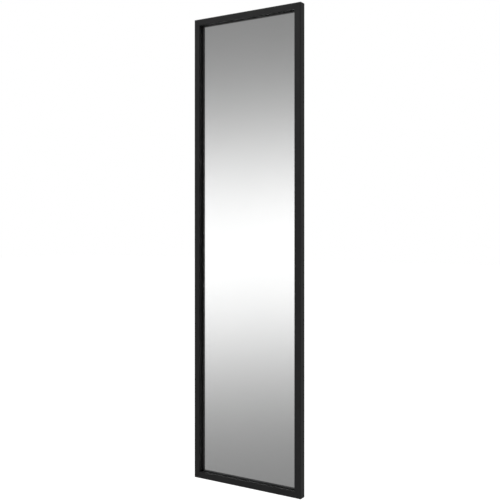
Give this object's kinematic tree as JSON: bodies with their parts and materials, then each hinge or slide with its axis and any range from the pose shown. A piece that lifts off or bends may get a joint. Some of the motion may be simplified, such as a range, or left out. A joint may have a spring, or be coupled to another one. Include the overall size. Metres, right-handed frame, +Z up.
{
  "type": "pull-out closet mirror",
  "caption": "Tall framed mirror on ball-bearing slides; it pulls out of a closet and swivels on a vertical axis to face the room.",
  "frame": {"origin": "centre of the mounting plate's back face, level with the middle of the mirror", "axes": "+Z up along the mirror, +X the pull-out direction towards the leading edge, the mirror faces -Y, +Y into the closet panel"},
  "size_m": [0.32, 0.0497, 1.219],
  "materials": {
    "black_frame": "matte black powder coat",
    "silvered_glass": "polished, silvered",
    "backing": "pressed hardboard, dull",
    "rubber": "matte",
    "key_alloy": "die cast",
    "nylon": "natural nylon",
    "fastener_steel": "zinc plated",
    "cage_steel": "bright steel balls in a pressed strip",
    "zinc_steel": "zinc-plated sheet steel"
  },
  "bodies": {
    "mounting": {"mounting_plate": "zinc_steel", "outer_slide_upper": "zinc_steel", "outer_slide_lower": "zinc_steel", "slide_bumper_upper": "rubber", "slide_bumper_lower": "rubber"},
    "carriage": {"upright": "zinc_steel", "inner_slide_upper": "zinc_steel", "inner_slide_lower": "zinc_steel", "slide_screw_upper_1": "fastener_steel", "slide_screw_upper_2": "fastener_steel", "slide_screw_lower_1": "fastener_steel", "slide_screw_lower_2": "fastener_steel", "pivot_arm_upper": "zinc_steel", "pivot_arm_lower": "zinc_steel", "arm_rivet_upper_1": "fastener_steel", "arm_rivet_upper_2": "fastener_steel", "arm_rivet_lower_1": "fastener_steel", "arm_rivet_lower_2": "fastener_steel", "pivot_pin_upper": "fastener_steel", "pivot_pin_lower": "fastener_steel", "pin_clip_upper": "fastener_steel", "pin_clip_lower": "fastener_steel", "thrust_washer_upper_top": "nylon", "thrust_washer_upper_bottom": "nylon", "thrust_washer_lower_top": "nylon", "thrust_washer_lower_bottom": "nylon"},
    "mirror": {"stile_left": "black_frame", "stile_right": "black_frame", "rail_top": "black_frame", "rail_bottom": "black_frame", "corner_key_bottom_left": "key_alloy", "corner_key_bottom_right": "key_alloy", "corner_key_top_right": "key_alloy", "corner_key_top_left": "key_alloy", "mirror_glass": "silvered_glass", "backing_board": "backing", "glazing_gasket": "rubber", "hinge_leaf_upper": "zinc_steel", "hinge_leaf_lower": "zinc_steel", "hinge_screw_upper_1": "fastener_steel", "hinge_screw_upper_2": "fastener_steel", "hinge_screw_lower_1": "fastener_steel", "hinge_screw_lower_2": "fastener_steel"},
    "intermediate_slide_upper": {"intermediate_slide_upper": "zinc_steel"},
    "outer_ball_cage_upper": {"outer_ball_cage_upper": "cage_steel"},
    "inner_ball_cage_upper": {"inner_ball_cage_upper": "cage_steel"},
    "intermediate_slide_lower": {"intermediate_slide_lower": "zinc_steel"},
    "outer_ball_cage_lower": {"outer_ball_cage_lower": "cage_steel"},
    "inner_ball_cage_lower": {"inner_ball_cage_lower": "cage_steel"}
  },
  "joints": [
    {"name": "pull_out", "type": "slide", "parent": "mounting", "child": "carriage", "axis": [1, 0, 0], "range_m": [0, 0.25]},
    {"name": "swivel", "type": "hinge", "parent": "carriage", "child": "mirror", "pos_m": [0.146, -0.0197, 0], "axis": [0, 0, 1], "range_deg": [0, 90]},
    {"name": "intermediate_slide_upper_travel", "type": "slide", "parent": "mounting", "child": "intermediate_slide_upper", "axis": [1, 0, 0], "range_m": [0, 0.125]},
    {"name": "outer_ball_cage_upper_travel", "type": "slide", "parent": "mounting", "child": "outer_ball_cage_upper", "axis": [1, 0, 0], "range_m": [0, 0.0625]},
    {"name": "inner_ball_cage_upper_travel", "type": "slide", "parent": "mounting", "child": "inner_ball_cage_upper", "axis": [1, 0, 0], "range_m": [0, 0.1875]},
    {"name": "intermediate_slide_lower_travel", "type": "slide", "parent": "mounting", "child": "intermediate_slide_lower", "axis": [1, 0, 0], "range_m": [0, 0.125]},
    {"name": "outer_ball_cage_lower_travel", "type": "slide", "parent": "mounting", "child": "outer_ball_cage_lower", "axis": [1, 0, 0], "range_m": [0, 0.0625]},
    {"name": "inner_ball_cage_lower_travel", "type": "slide", "parent": "mounting", "child": "inner_ball_cage_lower", "axis": [1, 0, 0], "range_m": [0, 0.1875]}
  ],
  "couplings": [
    {"joint": "intermediate_slide_upper_travel", "follows": "pull_out", "ratio": 0.5},
    {"joint": "outer_ball_cage_upper_travel", "follows": "pull_out", "ratio": 0.25},
    {"joint": "inner_ball_cage_upper_travel", "follows": "pull_out", "ratio": 0.75},
    {"joint": "intermediate_slide_lower_travel", "follows": "pull_out", "ratio": 0.5},
    {"joint": "outer_ball_cage_lower_travel", "follows": "pull_out", "ratio": 0.25},
    {"joint": "inner_ball_cage_lower_travel", "follows": "pull_out", "ratio": 0.75}
  ]
}
